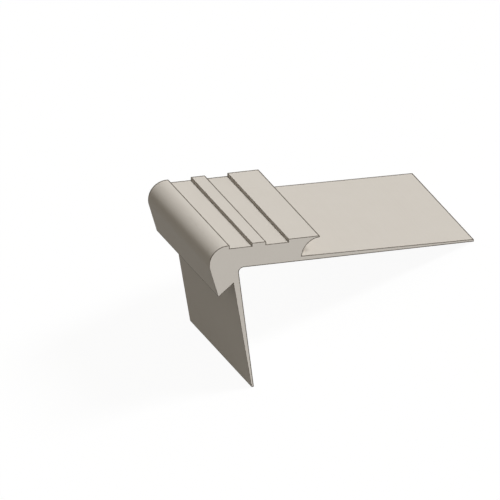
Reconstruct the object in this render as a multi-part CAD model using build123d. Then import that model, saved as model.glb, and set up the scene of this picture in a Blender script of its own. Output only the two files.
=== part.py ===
from build123d import *
import os
from math import atan2, cos, degrees, radians

# A stair nosing: one extruded vinyl section that caps the front edge of a step.
# The section is drawn as fitted. X runs back from the front of the nose, and Y, the height,
# runs up from the top face. Lengths are in millimetres and angles in degrees.

# Length of the piece, square to the section
LENGTH = 61.7

# Nose: a round front above a sloping face that ends in a pointed lip over the riser
NOSE_DEPTH = 35.7
NOSE_HEIGHT = 16.4
NOSE_RADIUS = 5.87
FRONT_LEAN = 16.4
LIP_SLOPE = 39.4
BODY_THICKNESS = 7.6

# Two shallow grooves along the top, with a rib between them
GROOVE_COUNT = 2
GROOVE_START = 6.6
GROOVE_WIDTH = 7.2
GROOVE_DEPTH = 1.0
RIB_WIDTH = 4.6

# Cove behind the pad, which takes the edge of the floor covering
PAD_EDGE = 0.5
COVE_DEPTH = 5.8
COVE_ENTRY = 2.6

# Tread flange, which is glued down under the floor covering and tapers towards its back edge
TREAD_REACH = 49.75
TREAD_ROOT = 1.55
TREAD_TIP = 0.75

# Riser flange, which toes in to press on the riser and tapers towards its foot
RISER_SETBACK = 9.35
RISER_LENGTH = 39.8
RISER_TIP = 0.8
RISER_TAPER = 2.25
TOE_IN = 7.3

# Rounds of the die. A flange's edge takes no more than this share of its thickness.
INNER_ROUND = 1.5
ARRIS_ROUND = 0.12
TIP_SHARE = 0.4


def heading(angle):
    """Unit vector in the section, at an angle from +X."""
    return Vector(1, 0).rotate(Axis.Z, angle)


def crossing(start, along, other, across):
    """Point where the line through start meets the line through other."""
    reach = (other - start).cross(across).Z / along.cross(across).Z
    return start + along * reach


# Corners of the nose
NOSE_CENTRE = Vector(NOSE_RADIUS, -NOSE_RADIUS)
NOSE_TOP = NOSE_CENTRE + heading(90) * NOSE_RADIUS
NOSE_FRONT = NOSE_CENTRE + heading(180 + FRONT_LEAN) * NOSE_RADIUS
FRONT_RUN = (NOSE_HEIGHT + NOSE_FRONT.Y) / cos(radians(FRONT_LEAN))
LIP_TIP = NOSE_FRONT + heading(FRONT_LEAN - 90) * FRONT_RUN

# Front edge of each groove
GROOVE_FRONTS = [GROOVE_START + (GROOVE_WIDTH + RIB_WIDTH) * i for i in range(GROOVE_COUNT)]

# Corners of the riser flange
INNER_CORNER = Vector(RISER_SETBACK, -BODY_THICKNESS)
RISER_TOE = INNER_CORNER + heading(TOE_IN - 90) * RISER_LENGTH
RISER_OUTER_TOE = RISER_TOE + heading(TOE_IN + 180) * RISER_TIP
RISER_OUTER_SLOPE = heading(TOE_IN + RISER_TAPER + 90)
UNDERCUT = crossing(RISER_OUTER_TOE, RISER_OUTER_SLOPE, LIP_TIP, heading(LIP_SLOPE))

# Corners of the tread flange and of the pad above the cove
TREAD_HEEL = Vector(NOSE_DEPTH + TREAD_REACH, -BODY_THICKNESS)
TREAD_TOP = TREAD_HEEL + Vector(0, TREAD_TIP)
COVE_FOOT = Vector(NOSE_DEPTH - COVE_DEPTH, TREAD_ROOT - BODY_THICKNESS)
PAD_BACK = Vector(NOSE_DEPTH, 0)
PAD_UNDER = PAD_BACK - Vector(0, PAD_EDGE)


def outline():
    """Closed outline of the section, without its grooves and small rounds."""
    nose = CenterArc(NOSE_CENTRE, NOSE_RADIUS, 90, 90 + FRONT_LEAN)
    lip = Polyline(NOSE_FRONT, LIP_TIP, UNDERCUT)
    riser = Polyline(UNDERCUT, RISER_OUTER_TOE, RISER_TOE, INNER_CORNER)
    tread = Polyline(INNER_CORNER, TREAD_HEEL, TREAD_TOP, COVE_FOOT)
    cove = TangentArc(PAD_UNDER, COVE_FOOT, tangent=heading(180 + COVE_ENTRY))
    pad = Polyline(PAD_UNDER, PAD_BACK, NOSE_TOP)
    return make_face(nose + lip + riser + tread + cove + pad)


def grooves():
    """Grooves of the top face, side by side with a rib between each two."""
    cutter = Rectangle(GROOVE_WIDTH, GROOVE_DEPTH, align=(Align.MIN, Align.MAX))
    return [Pos(front, 0) * cutter for front in GROOVE_FRONTS]


def groove_arrises():
    """Upper corners of the grooves."""
    return [Vector(x, 0) for front in GROOVE_FRONTS for x in (front, front + GROOVE_WIDTH)]


def rounded(face, corners, radius):
    """Face with the named corners rounded."""
    picked = ShapeList([face.vertices().sort_by_distance(c)[0] for c in corners])
    return fillet(picked, radius)


def tip_round(thickness):
    """Round of the arrises at a flange's edge."""
    return min(ARRIS_ROUND, thickness * TIP_SHARE)


def section():
    """Whole section as it leaves the die."""
    face = outline() - grooves()
    face = rounded(face, [INNER_CORNER], INNER_ROUND)
    face = rounded(face, [RISER_TOE, RISER_OUTER_TOE], tip_round(RISER_TIP))
    face = rounded(face, [TREAD_HEEL, TREAD_TOP], tip_round(TREAD_TIP))
    face = rounded(face, [PAD_BACK, PAD_UNDER], tip_round(PAD_EDGE))
    return rounded(face, [LIP_TIP, *groove_arrises()], ARRIS_ROUND)


def laid_down(piece):
    """Piece turned to lie on its two flange edges, with the origin under its middle."""
    span = TREAD_HEEL - RISER_TOE
    piece = Rot(0, degrees(atan2(span.Y, span.X)), 0) * piece
    box = piece.bounding_box()
    return Pos(-box.center().X, -box.center().Y, -box.min.Z) * piece


nosing = laid_down(extrude(Plane.XZ * section(), LENGTH / 2, both=True))
nosing.label = "stair_nosing"

os.makedirs("parts", exist_ok=True)
export_step(nosing, "parts/stair_nosing.step")
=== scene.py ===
import logging
from dataclasses import dataclass, field
from enum import Enum
from math import atan2, pi, radians, sin, tan
from typing import Any

import bpy
from mathutils import Matrix, Vector


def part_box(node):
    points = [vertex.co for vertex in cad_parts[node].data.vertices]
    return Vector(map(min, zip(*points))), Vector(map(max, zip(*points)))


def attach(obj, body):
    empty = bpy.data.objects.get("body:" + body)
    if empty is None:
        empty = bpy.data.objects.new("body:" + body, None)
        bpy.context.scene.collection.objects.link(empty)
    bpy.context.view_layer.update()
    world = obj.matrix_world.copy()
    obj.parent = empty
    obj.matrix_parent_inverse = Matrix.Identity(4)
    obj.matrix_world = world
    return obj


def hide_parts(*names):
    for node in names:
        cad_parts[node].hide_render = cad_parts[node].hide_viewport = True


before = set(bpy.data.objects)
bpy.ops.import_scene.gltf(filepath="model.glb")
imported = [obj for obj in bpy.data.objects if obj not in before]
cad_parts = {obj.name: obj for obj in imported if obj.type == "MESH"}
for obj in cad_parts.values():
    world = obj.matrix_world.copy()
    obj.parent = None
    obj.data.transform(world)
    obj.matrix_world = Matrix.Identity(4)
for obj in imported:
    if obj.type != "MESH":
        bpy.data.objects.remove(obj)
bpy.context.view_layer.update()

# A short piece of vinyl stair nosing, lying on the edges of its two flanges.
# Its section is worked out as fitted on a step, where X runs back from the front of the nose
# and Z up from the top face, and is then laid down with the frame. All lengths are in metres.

LOG = logging.getLogger("stair_nosing")
MM = 0.001
NODE = "stair_nosing"
BODY = "root"

Box = tuple[Vector, Vector]
Colour = tuple[float, float, float, float]
Triple = tuple[float, float, float]
Socket = bpy.types.NodeSocket
WHITE: Colour = (1.0, 1.0, 1.0, 1.0)

# Places of the sockets that a mix of colours uses
MIX_SHARE, MIX_FIRST, MIX_SECOND = 0, 6, 7
MIX_RESULT = 2


class Turn(Enum):
    """Ways in which the outline turns at a sharp corner: an arris stands out."""

    ARRIS = 1
    HOLLOW = -1


def at(back: float, up: float) -> Vector:
    """Point or direction in the section's plane."""
    return Vector((back, 0.0, up))


def left_of(ahead: Vector) -> Vector:
    """Direction in the section that is square to another, on its left."""
    return at(-ahead.z, ahead.x)


def heading(degrees: float) -> Vector:
    """Unit vector in the section, at an angle from +X.

    Args:
        degrees: The angle, counted towards +Z.

    Returns:
        The vector, with no Y.
    """
    return Matrix.Rotation(-radians(degrees), 3, "Y") @ at(1.0, 0.0)


def crossing(start: Vector, along: Vector, other: Vector, across: Vector) -> Vector:
    """Point where two lines of the section meet.

    Args:
        start: A point on the first line.
        along: The first line's direction.
        other: A point on the second line.
        across: The second line's direction.

    Returns:
        The point that both lines pass through.
    """
    reach = (other - start).cross(across).y / along.cross(across).y
    return start + along * reach


def arc_about(centre: Vector, start: Vector, sweep: float, steps: int) -> list[Vector]:
    """Points along an arc of the section.

    Args:
        centre: The arc's centre.
        start: Its first point.
        sweep: Its angle in radians, positive from +X towards +Z.
        steps: How many chords it gets.

    Returns:
        The points, both ends among them.
    """
    arm = start - centre
    turns = [Matrix.Rotation(-sweep * i / steps, 3, "Y") for i in range(steps + 1)]
    return [centre + turn @ arm for turn in turns]


def arc_from(start: Vector, end: Vector, leaving: Vector, steps: int) -> list[Vector]:
    """Points along the arc that leaves one point in a given direction and ends at another.

    Args:
        start: The arc's first point.
        end: Its last point.
        leaving: Its direction at the first point.
        steps: How many chords it gets.

    Returns:
        The points, both ends among them.
    """
    side = left_of(leaving)
    chord = end - start
    radius = chord.length_squared / (2.0 * side.dot(chord))
    half = atan2(side.dot(chord), leaving.dot(chord))
    return arc_about(start + side * radius, start, 2.0 * half, steps)


@dataclass(frozen=True)
class Outline:
    """Closed outline in the section's plane, with the piece on the left of its direction.

    Attributes:
        points: Its points, in order and with none twice.
        bold: Whether the side after each point gets a wide painted dark line on a cut end.
        sharp_from: Least turn in radians at a corner that counts as sharp.
    """

    points: list[Vector]
    bold: list[bool]
    sharp_from: float = radians(25.0)

    def sides(self) -> list[tuple[Vector, Vector]]:
        """Start and end of the side after each point."""
        return list(zip(self.points, [*self.points[1:], self.points[0]]))

    def directions(self) -> list[Vector]:
        """Unit vector along the side after each point."""
        return [(end - start).normalized() for start, end in self.sides()]

    def corners(self, turn: Turn) -> list[Vector]:
        """Points where the outline turns sharply.

        Args:
            turn: Which way it turns there.

        Returns:
            The points, in order.
        """
        ahead = self.directions()
        turns = zip(self.points, [ahead[-1], *ahead[:-1]], ahead)
        least = sin(self.sharp_from)
        return [p for p, before, after in turns if after.cross(before).y * turn.value > least]

    def banded(self, wide: float, slim: float, foot: float) -> "Outline":
        """Outline with a further point beside its sharp corners, on all but its short sides.

        Args:
            wide: Distance of that point from an arris.
            slim: Its distance instead before the arris at the front of a side that looks up.
            foot: Its distance from a hollow corner.

        Returns:
            The new outline, of the same shape.
        """
        arrises, hollows = self.corners(Turn.ARRIS), self.corners(Turn.HOLLOW)
        points, bold = [], []
        for (start, end), ahead, kind in zip(self.sides(), self.directions(), self.bold):
            sharp = [point in arrises or point in hollows for point in (start, end)]
            split = [start]
            if (end - start).length > wide * sum(sharp):
                if sharp[0]:
                    split.append(start + ahead * (wide if start in arrises else foot))
                if sharp[1]:
                    reach = slim if ahead.x < 0.0 else wide
                    split.append(end - ahead * (reach if end in arrises else foot))
            points += split
            bold += [kind] * len(split)
        return Outline(points, bold, self.sharp_from)

    def inset(self, plain: float, bold: float) -> list[Vector]:
        """Points of the outline moved inwards.

        Args:
            plain: The distance from most sides.
            bold: The distance from the bold ones.

        Returns:
            One point for each point of the outline.
        """
        inward = [left_of(ahead) for ahead in self.directions()]
        widths = [bold if kind else plain for kind in self.bold]
        moved = []
        for i, point in enumerate(self.points):
            before, after = inward[i - 1], inward[i]
            cosine = before.dot(after)
            offset = (before + after) * ((widths[i - 1] + widths[i]) / 2.0 / (1.0 + cosine))
            if widths[i - 1] != widths[i]:
                lean = (widths[i - 1] - widths[i]) / 2.0 / (1.0 - cosine)
                offset += (before - after) * lean
            moved.append(point + offset)
        return moved


@dataclass(frozen=True)
class NosingSection:
    """Sizes of the extruded section, as it is fitted on a step.

    Lengths are in metres and angles in degrees. The outline has sharp arrises, which are
    rounded after the section is drawn out. A name that ends in steps counts an arc's chords.
    """

    nose_depth: float = 35.7 * MM
    nose_height: float = 16.4 * MM
    nose_radius: float = 5.87 * MM
    front_lean: float = 16.4
    lip_slope: float = 39.4
    body_thickness: float = 7.6 * MM
    groove_count: int = 2
    groove_start: float = 6.6 * MM
    groove_width: float = 7.2 * MM
    groove_depth: float = 1.0 * MM
    rib_width: float = 4.6 * MM
    pad_edge: float = 0.5 * MM
    cove_depth: float = 5.8 * MM
    cove_entry: float = 2.6
    tread_reach: float = 49.75 * MM
    tread_root: float = 1.55 * MM
    tread_tip: float = 0.75 * MM
    riser_setback: float = 9.35 * MM
    riser_length: float = 39.8 * MM
    riser_tip: float = 0.8 * MM
    riser_taper: float = 2.25
    toe_in: float = 7.3
    inner_round: float = 1.5 * MM
    nose_steps: int = 48
    cove_steps: int = 32
    inner_steps: int = 12

    def inner_corner(self) -> Vector:
        """Corner where the undersides of the two flanges would meet."""
        return at(self.riser_setback, -self.body_thickness)

    def riser_toe(self) -> Vector:
        """Foot of the riser flange, on its inner face."""
        return self.inner_corner() + heading(self.toe_in - 90.0) * self.riser_length

    def outer_toe(self) -> Vector:
        """Foot of the riser flange, on its outer face."""
        return self.riser_toe() + heading(self.toe_in + 180.0) * self.riser_tip

    def tread_heel(self) -> Vector:
        """Back edge of the tread flange, on its underside."""
        return at(self.nose_depth + self.tread_reach, -self.body_thickness)

    def tread_top(self) -> Vector:
        """Back edge of the tread flange, on its upper face."""
        return self.tread_heel() + at(0.0, self.tread_tip)

    def pad_back(self) -> Vector:
        """Back edge of the pad, on the top face."""
        return at(self.nose_depth, 0.0)

    def nose_centre(self) -> Vector:
        """Centre of the round front."""
        return at(self.nose_radius, -self.nose_radius)

    def nose_line(self) -> list[Vector]:
        """Round front, sloping face and lip, down to the riser flange.

        Returns:
            The points from the top face to the corner behind the lip.
        """
        centre = self.nose_centre()
        top = centre + heading(90.0) * self.nose_radius
        sweep = radians(90.0 + self.front_lean)
        front = arc_about(centre, top, sweep, self.nose_steps)
        down = heading(self.front_lean - 90.0)
        lip = front[-1] + down * ((self.nose_height + front[-1].z) / -down.z)
        outer = heading(self.toe_in + self.riser_taper + 90.0)
        undercut = crossing(self.outer_toe(), outer, lip, heading(self.lip_slope))
        return [*front, lip, undercut]

    def flange_line(self) -> list[Vector]:
        """Both flanges, from the riser flange's foot round the inner corner to the cove.

        Returns:
            The points from the riser flange's outer foot to the tread flange's upper edge.
        """
        corner = self.inner_corner()
        reach = self.inner_round / tan(radians(90.0 - self.toe_in) / 2.0)
        start = corner + heading(self.toe_in - 90.0) * reach
        end = corner + heading(0.0) * reach
        inner = arc_from(start, end, heading(self.toe_in + 90.0), self.inner_steps)
        return [self.outer_toe(), self.riser_toe(), *inner, self.tread_heel(), self.tread_top()]

    def cove_line(self) -> list[Vector]:
        """Cove under the pad and the pad's back edge.

        Returns:
            The points from the foot of the cove to the top face.
        """
        under = self.pad_back() - at(0.0, self.pad_edge)
        foot = at(self.nose_depth - self.cove_depth, self.tread_root - self.body_thickness)
        leaving = heading(180.0 + self.cove_entry)
        cove = arc_from(under, foot, leaving, self.cove_steps)
        return [*reversed(cove), self.pad_back()]

    def groove_line(self) -> list[Vector]:
        """Grooves of the top face, from the back one to the front one.

        Returns:
            Four points for each groove.
        """
        points = []
        for i in reversed(range(self.groove_count)):
            front = self.groove_start + i * (self.groove_width + self.rib_width)
            back = front + self.groove_width
            points += [at(back, up) for up in (0.0, -self.groove_depth)]
            points += [at(front, up) for up in (-self.groove_depth, 0.0)]
        return points

    def outline(self) -> Outline:
        """Whole closed outline, bold where it looks back or down behind the riser flange.

        The pad's back edge is too short to be bold.

        Returns:
            The outline, which runs from the top of the round front down to the lip, along both
            flanges and the cove, and back over the grooves.
        """
        nose, flange, cove = self.nose_line(), self.flange_line(), self.cove_line()
        groove = [False, False, True, False]
        bold = [*[False] * len(nose), *[True] * (len(flange) - 1), False,
                *[True] * (len(cove) - 2), False, False, *groove * self.groove_count]
        return Outline([*nose, *flange, *cove, *self.groove_line()], bold)

    def lay_angle(self) -> float:
        """Angle in radians by which the piece tips back to lie on both flanges."""
        span = self.tread_heel() - self.riser_toe()
        return atan2(span.z, span.x)

    def tipped(self) -> Matrix:
        """Turn from the fitted attitude to the one in which the piece lies."""
        return Matrix.Rotation(self.lay_angle(), 4, "Y")

    def placement(self, box: Box) -> Matrix:
        """Turn and move from the fitted attitude to the frame.

        Args:
            box: Lowest and highest corner of the node that the piece stands for.

        Returns:
            The transform, which puts the round front level with the box's top.
        """
        turn = self.tipped()
        middle = (turn @ self.outer_toe() + turn @ self.tread_top()) / 2.0
        crown = (turn @ self.nose_centre()).z + self.nose_radius
        across = (box[0][0] + box[1][0]) / 2.0 - middle.x
        along = (box[0][1] + box[1][1]) / 2.0
        return Matrix.Translation((across, along, box[1][2] - crown)) @ turn


@dataclass
class TreeBuilder:
    """Adds the nodes of one tree and links them."""

    tree: bpy.types.NodeTree

    def add(self, kind: str, label: str, **settings: Any) -> bpy.types.Node:
        """Add one node.

        Args:
            kind: The node's type.
            label: What the node is for.
            **settings: Properties of the node.

        Returns:
            The new node.
        """
        node = self.tree.nodes.new(kind)
        node.label = label
        for name, value in settings.items():
            setattr(node, name, value)
        return node

    def feed(self, node: bpy.types.Node, inputs: dict[str | int, Any]) -> bpy.types.Node:
        """Link or set some inputs of a node.

        Args:
            node: The node to feed.
            inputs: What each input gets, by its name or place: a socket is linked, a value set.

        Returns:
            The same node.
        """
        for name, value in inputs.items():
            if isinstance(value, Socket):
                self.tree.links.new(value, node.inputs[name])
            else:
                node.inputs[name].default_value = value
        return node

    def math(self, operation: str, label: str, *values: Any) -> Socket:
        """Add a math node.

        Args:
            operation: The node's operation.
            label: What the result is.
            *values: Its inputs in order.

        Returns:
            The result's socket.
        """
        node = self.add("ShaderNodeMath", label, operation=operation)
        return self.feed(node, dict(enumerate(values))).outputs[0]

    def mix(self, label: str, share: Any, first: Any, second: Any) -> Socket:
        """Add a mix of two colours.

        Args:
            label: What the result is.
            share: How much of the second colour it takes.
            first: The first colour.
            second: The second colour.

        Returns:
            The result's socket.
        """
        node = self.add("ShaderNodeMix", label, data_type="RGBA")
        inputs = {MIX_SHARE: share, MIX_FIRST: first, MIX_SECOND: second}
        return self.feed(node, inputs).outputs[MIX_RESULT]


def from_srgb(red: int, green: int, blue: int) -> Colour:
    """Colour of a shader socket from the 0 to 255 values that a screen shows.

    The numbers in it are those of the standard's own curve.

    Args:
        red: The red value.
        green: The green value.
        blue: The blue value.

    Returns:
        The linear colour, opaque.
    """
    shares = (value / 255.0 for value in (red, green, blue))
    linear = [s / 12.92 if s <= 0.04045 else ((s + 0.055) / 1.055) ** 2.4 for s in shares]
    return (*linear, 1.0)


@dataclass(frozen=True)
class VinylFinish:
    """Matte beige vinyl as it leaves the die, with saw-cut ends.

    A pattern's scale counts its features in a metre, and its stretch is a share of that scale
    along the lines that it is drawn out into.

    Attributes:
        lay_angle: Angle by which the section lies tipped, in radians.
        half_length: Distance from the middle of the piece to a cut end, in metres.
        tone: The vinyl's pale tone.
        deep_tone: Its tone where the mottle and the die lines are strongest.
        painted_shade_tone: Tone of the painted dark lines along the arrises, and of the painted
            shade down the groove walls, beside the hollow corners and under the lip.
        noise_detail: Octaves of every pattern.
        noise_roughness: Strength of each octave beside the one before it.
        least_rough: Roughness of the shader where the grain is low.
        most_rough: Its roughness where the grain is high.
        specular: Its specular level.
        saw_angle: Angle of the saw marks to the top face, in radians.
        cut_band: Depth of the saw-cut finish from a cut end, in metres.
        line_depth: Depth of the die lines, in metres.
        grain_depth: Depth of the grain, in metres.
        saw_depth: Depth of the saw marks, in metres.
    """

    lay_angle: float
    half_length: float
    tone: Colour = from_srgb(209, 203, 194)
    deep_tone: Colour = from_srgb(202, 195, 185)
    painted_shade_tone: Colour = from_srgb(108, 101, 92)
    mottle_scale: float = 110.0
    line_scale: float = 2400.0
    line_stretch: float = 0.006
    grain_scale: float = 7500.0
    noise_detail: float = 4.0
    noise_roughness: float = 0.6
    least_rough: float = 0.62
    most_rough: float = 0.76
    specular: float = 0.1
    saw_scale: float = 1700.0
    saw_angle: float = 0.3
    saw_stretch: float = 0.03
    cut_band: float = 0.04 * MM
    line_depth: float = 0.004 * MM
    grain_depth: float = 0.003 * MM
    saw_depth: float = 0.008 * MM

    def noise(self, nodes: TreeBuilder, label: str, place: Socket, scale: float) -> Socket:
        """Add a noise texture.

        Args:
            nodes: The tree's builder.
            label: What the pattern is.
            place: The socket with its coordinates.
            scale: Its features in a metre.

        Returns:
            The socket with its value.
        """
        node = nodes.add("ShaderNodeTexNoise", label)
        nodes.feed(node, {"Vector": place, "Scale": scale, "Detail": self.noise_detail,
                          "Roughness": self.noise_roughness})
        return node.outputs[0]

    def stretched(self, nodes: TreeBuilder, label: str, place: Socket, turn: float,
                  scale: Triple) -> Socket:
        """Add coordinates that a pattern is drawn out along.

        Args:
            nodes: The tree's builder.
            label: What the coordinates are for.
            place: The socket with the coordinates to start from.
            turn: Their turn about the length of the piece, in radians.
            scale: Their scale along each axis.

        Returns:
            The socket with the new coordinates.
        """
        node = nodes.add("ShaderNodeMapping", label, vector_type="POINT")
        nodes.feed(node, {"Vector": place, "Rotation": (0.0, turn, 0.0)})
        spread = nodes.add("ShaderNodeVectorMath", label, operation="MULTIPLY")
        return nodes.feed(spread, {0: node.outputs[0], 1: scale}).outputs[0]

    def cut_mask(self, nodes: TreeBuilder, place: Socket) -> Socket:
        """Add the mask of the saw-cut ends.

        Args:
            nodes: The tree's builder.
            place: The socket with the object's coordinates.

        Returns:
            A socket that is 1 on the ends and 0 elsewhere.
        """
        axes = nodes.add("ShaderNodeSeparateXYZ", "axes of the piece")
        nodes.feed(axes, {0: place})
        reach = nodes.math("ABSOLUTE", "distance from the middle", axes.outputs["Y"])
        return nodes.math("GREATER_THAN", "cut end", reach, self.half_length - self.cut_band)

    def coloured(self, nodes: TreeBuilder, mottle: Socket, lines: Socket) -> Socket:
        """Add the colour, which is a little uneven, with painted dark lines along the arrises and
        painted shade.

        Args:
            nodes: The tree's builder.
            mottle: The socket with the broad pattern.
            lines: The socket with the fine pattern.

        Returns:
            The socket with the colour.
        """
        uneven = nodes.math("MULTIPLY", "unevenness", mottle, lines)
        body = nodes.mix("uneven tone", uneven, self.tone, self.deep_tone)
        # The arris attribute holds painted dark edge lines and painted shade, mixed over the
        # vinyl's tone.
        arris = nodes.add("ShaderNodeAttribute", "arrises", attribute_name="arris").outputs["Fac"]
        return nodes.mix("tone with dark arrises", arris, body, self.painted_shade_tone)

    def relief(self, nodes: TreeBuilder, layers: list[tuple[Socket, float]]) -> Socket:
        """Add the bumps, one on top of the other.

        Args:
            nodes: The tree's builder.
            layers: The socket with each layer's height, and its depth in metres.

        Returns:
            The socket with the normal.
        """
        below: dict[str, Socket] = {}
        for height, depth in layers:
            bump = nodes.add("ShaderNodeBump", "relief")
            nodes.feed(bump, {"Strength": 1.0, "Distance": depth, "Height": height, **below})
            below = {"Normal": bump.outputs[0]}
        return below["Normal"]

    def material(self) -> bpy.types.Material:
        """Build the finish.

        Returns:
            The new material.
        """
        material = bpy.data.materials.new("beige_vinyl")
        material.use_nodes = True
        nodes = TreeBuilder(material.node_tree)
        shader = material.node_tree.nodes["Principled BSDF"]
        place = nodes.add("ShaderNodeTexCoord", "place on the piece").outputs["Object"]
        fitted = self.stretched(nodes, "fitted attitude", place, -self.lay_angle,
                                (1.0, 1.0, 1.0))
        along = (1.0, self.line_stretch, 1.0)
        drawn = self.stretched(nodes, "along the piece", fitted, 0.0, along)
        sawn = self.stretched(nodes, "across the cut", fitted, self.saw_angle,
                              (self.saw_stretch, 1.0, 1.0))
        mottle = self.noise(nodes, "broad mottle", place, self.mottle_scale)
        lines = self.noise(nodes, "die lines", drawn, self.line_scale)
        grain = self.noise(nodes, "grain", place, self.grain_scale)
        marks = self.noise(nodes, "saw marks", sawn, self.saw_scale)
        cut = self.cut_mask(nodes, place)
        drawn_only = nodes.math("SUBTRACT", "drawn faces", 1.0, cut)
        line_height = nodes.math("MULTIPLY", "die line height", lines, drawn_only)
        saw_height = nodes.math("MULTIPLY", "saw mark height", marks, cut)
        normal = self.relief(nodes, [(grain, self.grain_depth), (line_height, self.line_depth),
                                     (saw_height, self.saw_depth)])
        rough = nodes.add("ShaderNodeMapRange", "roughness")
        nodes.feed(rough, {"Value": grain, "To Min": self.least_rough,
                           "To Max": self.most_rough})
        nodes.feed(shader, {"Base Color": self.coloured(nodes, mottle, lines),
                            "Roughness": rough.outputs[0], "Normal": normal,
                            "Specular IOR Level": self.specular})
        return material


@dataclass
class NosingExtrusion:
    """The whole piece: its section drawn out, with rounded arrises and dressed.

    The drawn faces are split into bands beside the arrises and the cut ends, and each cut end
    has a ring, so that these faces can take painted dark edge lines and painted shade. The far
    end's band is the widest, because its ring looks away from the camera.

    Attributes:
        section: The section's sizes.
        box: Lowest and highest corner of the node that the piece stands for.
        arris_round: Radius of the outer arrises.
        arris_steps: How many faces go round an arris.
        arris_band: Width of the band beside an arris.
        slim_band: Its width before an arris at the front of a side that looks up.
        foot_band: Its width beside a hollow corner.
        near_band: Width of the band of the drawn faces at the near end.
        far_band: Its width at the far end.
        end_ring: Width of the ring on a cut end.
        bold_ring: Its width along the bold sides of the outline.
        seam: Distance within which the points of the near end are merged.
        looks_up: Least part along Z of the normal of a face that looks up, and along Y of the
            normal of a cut end.
        looks_down: Largest part along Z of the normal of a face that looks down.
        side_share: Share of the painted shade in the bands of a face that looks aside.
        foot_share: Its share on the lower part of a groove's wall, painted shade against the
            light that the groove's floor throws there.
        lip_share: Its share beside an arris on a face that looks down, as at the lip's tip,
            painted shade.
        flat_turn: Largest turn of the normals on a face that isn't in the round of an arris.
        smooth_turn: Largest turn between two faces of an arc.
        name: The finished piece's name.
        finish: Its finish.
    """

    section: NosingSection
    box: Box
    arris_round: float = 0.12 * MM
    arris_steps: int = 3
    arris_band: float = 0.45 * MM
    slim_band: float = 0.22 * MM
    foot_band: float = 0.17 * MM
    near_band: float = 0.34 * MM
    far_band: float = 0.7 * MM
    end_ring: float = 0.14 * MM
    bold_ring: float = 0.3 * MM
    seam: float = 0.001 * MM
    looks_up: float = 0.3
    looks_down: float = -0.2
    side_share: float = 0.34
    foot_share: float = 0.45
    lip_share: float = 0.6
    flat_turn: float = radians(1.0)
    smooth_turn: float = radians(12.0)
    name: str = "nosing_extrusion"
    finish: VinylFinish = field(init=False)

    def __post_init__(self) -> None:
        """Settle the finish, which follows the piece's length and attitude."""
        self.finish = VinylFinish(self.section.lay_angle(), self.length() / 2.0)

    def length(self) -> float:
        """Length of the piece, from the frame."""
        return self.box[1][1] - self.box[0][1]

    def strokes(self, nodes: TreeBuilder, given: Any, start: Socket) -> Socket:
        """Add the drawing of the section along Y, with a band at either end.

        Args:
            nodes: The tree's builder.
            given: The sockets with the tree's inputs.
            start: The socket with the section at the near end.

        Returns:
            The socket with the drawn piece, which is open at the near end.
        """
        bands = nodes.math("ADD", "both bands", given["Near Band"], given["Far Band"])
        most = nodes.math("SUBTRACT", "length between the bands", given["Length"], bands)
        drawn, moved = start, True
        for label, reach in (("near band", given["Near Band"]), ("most of the length", most),
                             ("far band", given["Far Band"])):
            stroke = nodes.add("GeometryNodeExtrudeMesh", label, mode="FACES")
            nodes.feed(stroke, {"Mesh": drawn, "Selection": moved, "Offset": (0.0, 1.0, 0.0),
                                "Offset Scale": reach, "Individual": False})
            drawn, moved = stroke.outputs["Mesh"], stroke.outputs["Top"]
        return drawn

    def closed(self, nodes: TreeBuilder, drawn: Socket, start: Socket) -> Socket:
        """Add the near end's own face, and merge it with the rest.

        Args:
            nodes: The tree's builder.
            drawn: The socket with the drawn piece.
            start: The socket with the section at the near end.

        Returns:
            The socket with the closed piece.
        """
        back = nodes.add("GeometryNodeFlipFaces", "near face outwards")
        nodes.feed(back, {0: start})
        both = nodes.add("GeometryNodeJoinGeometry", "close the near end")
        for part in (drawn, back.outputs[0]):
            nodes.tree.links.new(part, both.inputs[0])
        merge = nodes.add("GeometryNodeMergeByDistance", "merge the seam")
        return nodes.feed(merge, {"Geometry": both.outputs[0], "Distance": self.seam}).outputs[0]

    def marked(self, nodes: TreeBuilder, piece: Socket, least: Socket) -> Socket:
        """Mark the arrises, which the bevel rounds.

        Args:
            nodes: The tree's builder.
            piece: The socket with the closed piece.
            least: The socket with the least turn of an arris.

        Returns:
            The socket with the marked piece.
        """
        angles = nodes.add("GeometryNodeInputMeshEdgeAngle", "angle at each edge").outputs
        outward = nodes.math("GREATER_THAN", "outer arris", angles["Signed Angle"], least)
        mark = nodes.add("GeometryNodeStoreNamedAttribute", "arrises to round", domain="EDGE")
        inputs = {"Geometry": piece, "Name": "bevel_weight_edge", "Value": outward}
        return nodes.feed(mark, inputs).outputs[0]

    def drawing_tree(self) -> bpy.types.NodeTree:
        """Build the tree that draws a section out along Y and closes both ends.

        Returns:
            The tree, whose inputs are named as the values that drawn() gives it.
        """
        tree = bpy.data.node_groups.new("draw out section", "GeometryNodeTree")
        kinds = {"Section": "Geometry", "Length": "Float", "Near Band": "Float",
                 "Far Band": "Float", "Least Turn": "Float", "Finish": "Material"}
        for name, kind in kinds.items():
            tree.interface.new_socket(name, in_out="INPUT", socket_type=f"NodeSocket{kind}")
        tree.interface.new_socket("Piece", in_out="OUTPUT", socket_type="NodeSocketGeometry")
        nodes = TreeBuilder(tree)
        given = nodes.add("NodeGroupInput", "sizes").outputs
        half = nodes.add("ShaderNodeVectorMath", "half the length", operation="SCALE")
        nodes.feed(half, {0: (0.0, -0.5, 0.0), "Scale": given["Length"]})
        near = nodes.add("GeometryNodeTransform", "near end")
        nodes.feed(near, {"Geometry": given["Section"], "Translation": half.outputs[0]})
        start = near.outputs[0]
        piece = self.closed(nodes, self.strokes(nodes, given, start), start)
        real = nodes.add("GeometryNodeRealizeInstances", "plain mesh")
        nodes.feed(real, {0: self.marked(nodes, piece, given["Least Turn"])})
        dress = nodes.add("GeometryNodeSetMaterial", "dress")
        nodes.feed(dress, {"Geometry": real.outputs[0], "Material": given["Finish"]})
        nodes.feed(nodes.add("NodeGroupOutput", "piece"), {0: dress.outputs[0]})
        return tree

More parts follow.
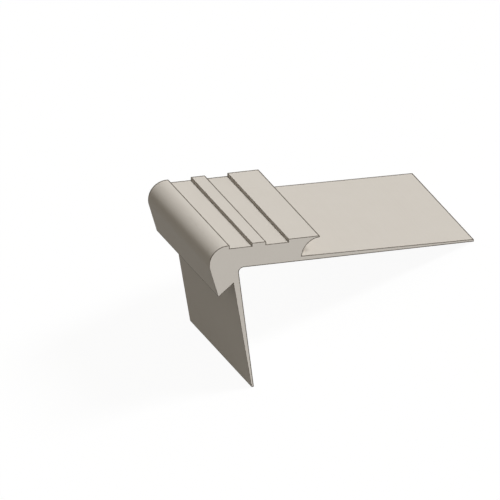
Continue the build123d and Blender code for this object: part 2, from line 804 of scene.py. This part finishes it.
    def section_mesh(self, material: bpy.types.Material) -> bpy.types.Mesh:
        """Make the section as one flat face in a narrow ring, looking along +Y.

        Args:
            material: The finish of the whole piece, which the mesh has as its one slot.

        Returns:
            The mesh.
        """
        bands = (self.arris_band, self.slim_band, self.foot_band)
        outline = self.section.outline().banded(*bands)
        points = [*outline.points, *outline.inset(self.end_ring, self.bold_ring)]
        count = len(outline.points)
        following = [*range(1, count), 0]
        ring = [(i, i + count, j + count, j) for i, j in enumerate(following)]
        mesh = bpy.data.meshes.new("section")
        mesh.from_pydata(points, [], [*ring, list(reversed(range(count, 2 * count)))])
        mesh.materials.append(material)
        return mesh

    def drawn(self, material: bpy.types.Material) -> bpy.types.Mesh:
        """Draw the section out and round its arrises.

        Args:
            material: The finish of the whole piece.

        Returns:
            The plain mesh, as the piece is fitted.
        """
        blank = bpy.data.objects.new("blank", self.section_mesh(material))
        bpy.context.scene.collection.objects.link(blank)
        tree = self.drawing_tree()
        draw = blank.modifiers.new("draw out", "NODES")
        draw.node_group = tree
        inputs = {"Length": self.length(), "Near Band": self.near_band,
                  "Far Band": self.far_band, "Finish": material,
                  "Least Turn": self.section.outline().sharp_from}
        for socket in tree.interface.items_tree:
            if socket.in_out == "INPUT" and socket.name in inputs:
                draw[socket.identifier] = inputs[socket.name]
        bevel = blank.modifiers.new("arris rounds", "BEVEL")
        bevel.width = self.arris_round
        bevel.segments = self.arris_steps
        bevel.limit_method = "WEIGHT"
        bevel.use_clamp_overlap = False
        bevel.harden_normals = True
        graph = bpy.context.evaluated_depsgraph_get()
        source = blank.evaluated_get(graph)
        mesh = bpy.data.meshes.new_from_object(source, preserve_all_data_layers=True,
                                               depsgraph=graph)
        bpy.data.objects.remove(blank)
        return mesh

    def smooth_arcs(self, mesh: bpy.types.Mesh) -> None:
        """Give the facets of the arcs the normals of a smooth face.

        The flat faces keep theirs, because each face counts by its area, and so do the rounds
        of the arrises.

        Args:
            mesh: The drawn mesh.
        """
        normals = [corner.vector.copy() for corner in mesh.corner_normals]
        facets = [face for face in mesh.polygons
                  if all(normals[i].angle(face.normal) < self.flat_turn
                         for i in face.loop_indices)]
        touching: dict[int, list[bpy.types.MeshPolygon]] = {}
        for face in facets:
            for vertex in face.vertices:
                touching.setdefault(vertex, []).append(face)
        for face in facets:
            for corner, vertex in zip(face.loop_indices, face.vertices):
                level = [other for other in touching[vertex]
                         if other.normal.angle(face.normal) < self.smooth_turn]
                total = sum((other.normal * other.area for other in level), Vector())
                normals[corner] = total.normalized()
        mesh.normals_split_custom_set(normals)

    def painted_shade_share(self, face: bpy.types.MeshPolygon, arrises: list[Vector],
                    hollows: list[Vector]) -> float:
        """Tell how much of the painted dark tone, edge lines and shade, a face takes.

        On a cut end the ring takes all of it, and the one face inside the ring, which has more
        corners than the section has arrises, takes none.

        Args:
            face: A face of the drawn mesh.
            arrises: The corners of the section that stand out.
            hollows: Its hollow corners.

        Returns:
            1 in a ring, and in the bands of a face that looks up, as painted dark lines. Less, as
            painted shade, beside the arrises of the other faces, down the groove walls and in
            their band at the far end. Else 0.
        """
        if abs(face.normal.y) > self.looks_up:
            return float(face.loop_total < len(arrises))
        place = at(face.center.x, face.center.z)
        to_arris = min((place - arris).length for arris in arrises)
        to_hollow = min((place - hollow).length for hollow in hollows)
        half = self.length() / 2.0
        at_far_end = face.center.y > half - self.far_band
        if face.normal.z > self.looks_up:
            at_end = at_far_end or face.center.y < self.near_band - half
            return float(at_end or min(to_arris, to_hollow) < self.arris_band)
        if to_arris > self.section.groove_depth:
            return self.side_share * at_far_end
        # Painted shade under the lip's tip and down the groove walls, darker on a wall's lower
        # part.
        if face.normal.z < self.looks_down:
            return self.lip_share
        return self.side_share if to_arris < self.arris_band else self.foot_share

    def mark_painted_shade(self, mesh: bpy.types.Mesh) -> None:
        """Store on each face how much painted dark tone it takes: lines along the arrises and
        painted shade.

        Args:
            mesh: The drawn mesh.
        """
        outline = self.section.outline()
        arrises, hollows = outline.corners(Turn.ARRIS), outline.corners(Turn.HOLLOW)
        shares = [self.painted_shade_share(face, arrises, hollows) for face in mesh.polygons]
        # The arris attribute holds painted edge lines and painted shade, not a colour of the
        # vinyl.
        arris = mesh.attributes.new("arris", "FLOAT", "FACE")
        arris.data.foreach_set("value", shares)

    def build(self) -> bpy.types.Object:
        """Build the finished piece in its place, attach it to its body and hide the part that it
        stands for.

        Returns:
            The piece.
        """
        mesh = self.drawn(self.finish.material())
        self.smooth_arcs(mesh)
        self.mark_painted_shade(mesh)
        mesh.name = self.name
        mesh.transform(self.section.placement(self.box))
        piece = bpy.data.objects.new(self.name, mesh)
        bpy.context.scene.collection.objects.link(piece)
        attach(piece, BODY)
        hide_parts(NODE)
        LOG.info("%s: %d faces", self.name, len(mesh.polygons))
        return piece


@dataclass(frozen=True)
class Studio:
    """Pale floor, white surroundings and soft light.

    Attributes:
        tipped: Turn from the fitted attitude to the one in which the piece lies.
        floor_size: Length of the floor's sides, in metres.
        floor_tone: The floor's colour, as it lights the piece.
        floor_kept: Share of that colour, and so of the shadow, that is kept where it is seen.
        floor_glow: White that is added there.
        ambient: Strength of the surroundings, as they light the piece.
        ambient_tint: Their colour.
        key_from: Where the key light comes from, as seen from the fitted piece.
        key_strength: Its strength.
        key_shadow: Share of it that casts shadows.
        fill_from: Where the fill comes from.
        fill_strength: Its strength.
        sun_tint: Colour of both lights.
        sun_angle: Width of both lights, in radians.
    """

    tipped: Matrix
    floor_size: float = 4.0
    floor_tone: Colour = from_srgb(152, 152, 152)
    floor_kept: float = 0.5
    floor_glow: float = 0.885
    ambient: float = 0.237
    ambient_tint: Triple = (1.0, 0.933, 0.82)
    key_from: Triple = (0.42, -0.72, 1.0)
    key_strength: float = 3.22
    key_shadow: float = 0.45
    fill_from: Triple = (0.15, 1.0, -0.15)
    fill_strength: float = 0.8
    sun_tint: Triple = (0.957, 0.972, 1.0)
    sun_angle: float = radians(14.0)

    def seen(self, nodes: TreeBuilder) -> Socket:
        """Add the mask of the rays that show the white surroundings.

        Args:
            nodes: The tree's builder.

        Returns:
            A socket that is 1 for camera, glossy and transmission rays.
        """
        rays = nodes.add("ShaderNodeLightPath", "kinds of ray").outputs
        shiny = nodes.math("MAXIMUM", "glossy or transmission", rays["Is Glossy Ray"],
                           rays["Is Transmission Ray"])
        return nodes.math("MAXIMUM", "seen rays", rays["Is Camera Ray"], shiny)

    def floor_material(self) -> bpy.types.Material:
        """Build the floor's finish, which keeps a part of the shadow.

        Returns:
            The new material.
        """
        material = bpy.data.materials.new("pale_floor")
        material.use_nodes = True
        nodes = TreeBuilder(material.node_tree)
        material.node_tree.nodes.remove(material.node_tree.nodes["Principled BSDF"])
        seen = self.seen(nodes)
        dimmed = Vector(self.floor_tone[:3]) * self.floor_kept
        tone = nodes.mix("dimmed where seen", seen, self.floor_tone, (*dimmed, 1.0))
        matte = nodes.add("ShaderNodeBsdfDiffuse", "matte floor")
        nodes.feed(matte, {"Color": tone})
        glow = nodes.add("ShaderNodeEmission", "white surroundings")
        level = nodes.math("MULTIPLY", "white where seen", seen, self.floor_glow)
        nodes.feed(glow, {"Strength": level})
        both = nodes.add("ShaderNodeAddShader", "floor with its shadow")
        nodes.feed(both, {0: matte.outputs[0], 1: glow.outputs[0]})
        nodes.feed(material.node_tree.nodes["Material Output"], {"Surface": both.outputs[0]})
        return material

    def floor(self) -> None:
        """Lay the floor under the piece."""
        half = self.floor_size / 2.0
        corners = [(-half, -half, 0.0), (half, -half, 0.0), (half, half, 0.0), (-half, half, 0.0)]
        mesh = bpy.data.meshes.new("floor")
        mesh.from_pydata(corners, [], [(0, 1, 2, 3)])
        mesh.materials.append(self.floor_material())
        floor = bpy.data.objects.new("floor", mesh)
        bpy.context.scene.collection.objects.link(floor)

    def surroundings(self) -> None:
        """Make the world white where it is seen and dimmer where it lights the piece."""
        world = bpy.data.worlds.new("surroundings")
        bpy.context.scene.world = world
        world.use_nodes = True
        nodes = TreeBuilder(world.node_tree)
        dim = (*Vector(self.ambient_tint) * self.ambient, 1.0)
        colour = nodes.mix("white where seen", self.seen(nodes), dim, WHITE)
        nodes.feed(world.node_tree.nodes["Background"], {"Color": colour})

    def sun(self, name: str, source: Triple, strength: float, shadow: bool) -> None:
        """Hang one soft light, which is as far away as the sun.

        Args:
            name: The lamp's name.
            source: Where its light comes from, as seen from the fitted piece.
            strength: Its strength.
            shadow: Whether it casts shadows.
        """
        lamp = bpy.data.lights.new(name, "SUN")
        lamp.energy = strength
        lamp.color = self.sun_tint
        lamp.angle = self.sun_angle
        lamp.use_shadow = shadow
        light = bpy.data.objects.new(name, lamp)
        towards = self.tipped.to_3x3() @ -Vector(source)
        light.rotation_mode = "QUATERNION"
        light.rotation_quaternion = towards.to_track_quat("-Z", "Y")
        bpy.context.scene.collection.objects.link(light)

    def build(self) -> None:
        """Set up the floor, the surroundings, the lights and the colour management.

        Only a part of the key light casts shadows, which keeps those in the grooves and under
        the lip soft. The fill reaches the far end alone, which the key light misses.
        """
        self.floor()
        self.surroundings()
        sharp = self.key_strength * self.key_shadow
        self.sun("key", self.key_from, sharp, shadow=True)
        self.sun("key without shadow", self.key_from, self.key_strength - sharp, shadow=False)
        self.sun("fill", self.fill_from, self.fill_strength, shadow=False)
        bpy.context.scene.view_settings.view_transform = "Standard"
        LOG.info("studio: floor, surroundings, key light and fill")


@dataclass(frozen=True)
class PictureCamera:
    """Parallel camera that looks at the piece as the picture does.

    Attributes:
        placement: Transform from the fitted attitude to the frame.
        mark: A point of the fitted piece.
        mark_pixel: Where that point shows in the picture.
        picture_pixels: Width and height of the picture in pixels.
        picture_width: What that width spans, in metres.
        azimuth: Turn of the camera from the near end towards the nose, in radians.
        elevation: How far it looks down, in radians.
        distance: Its distance from the point, in metres.
        clip_start: Nearest distance that it shows, in metres.
        clip_end: Farthest distance that it shows, in metres.
    """

    placement: Matrix
    mark: Vector
    mark_pixel: tuple[float, float] = (319.95, 235.67)
    picture_pixels: float = 500.0
    picture_width: float = 153.72 * MM
    azimuth: float = radians(17.85)
    elevation: float = radians(20.33)
    distance: float = 0.6
    clip_start: float = 0.006
    clip_end: float = 6.0

    def axes(self) -> Matrix:
        """Directions of the camera on the fitted piece.

        Returns:
            A turn whose columns point right, up and back to the camera.
        """
        turn = Matrix.Rotation(-self.azimuth, 3, "Z")
        tilt = Matrix.Rotation(pi / 2.0 - self.elevation, 3, "X")
        return turn @ tilt

    def build(self) -> None:
        """Create the camera and make it the scene's own."""
        data = bpy.data.cameras.new("picture")
        data.type = "ORTHO"
        data.ortho_scale = self.picture_width
        data.clip_start = self.clip_start
        data.clip_end = self.clip_end
        camera = bpy.data.objects.new("picture", data)
        axes = self.axes().to_4x4()
        pixel = self.picture_width / self.picture_pixels
        middle = self.picture_pixels / 2.0
        across = (middle - self.mark_pixel[0]) * pixel
        upward = (self.mark_pixel[1] - middle) * pixel
        offset = axes @ Vector((across, upward, self.distance))
        camera.matrix_world = self.placement @ Matrix.Translation(self.mark + offset) @ axes
        bpy.context.scene.collection.objects.link(camera)
        bpy.context.scene.camera = camera
        LOG.info("camera: %.1f mm wide", self.picture_width / MM)


def main() -> None:
    """Build the piece, the studio and the camera, and report each."""
    logging.basicConfig(level=logging.INFO, format="%(name)s: %(message)s")
    section = NosingSection()
    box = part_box(NODE)
    nosing = NosingExtrusion(section, box)
    nosing.build()
    Studio(section.tipped()).build()
    near_end = Vector((0.0, -nosing.length() / 2.0, 0.0))
    PictureCamera(section.placement(box), section.pad_back() + near_end).build()


if __name__ == "__main__":
    main()
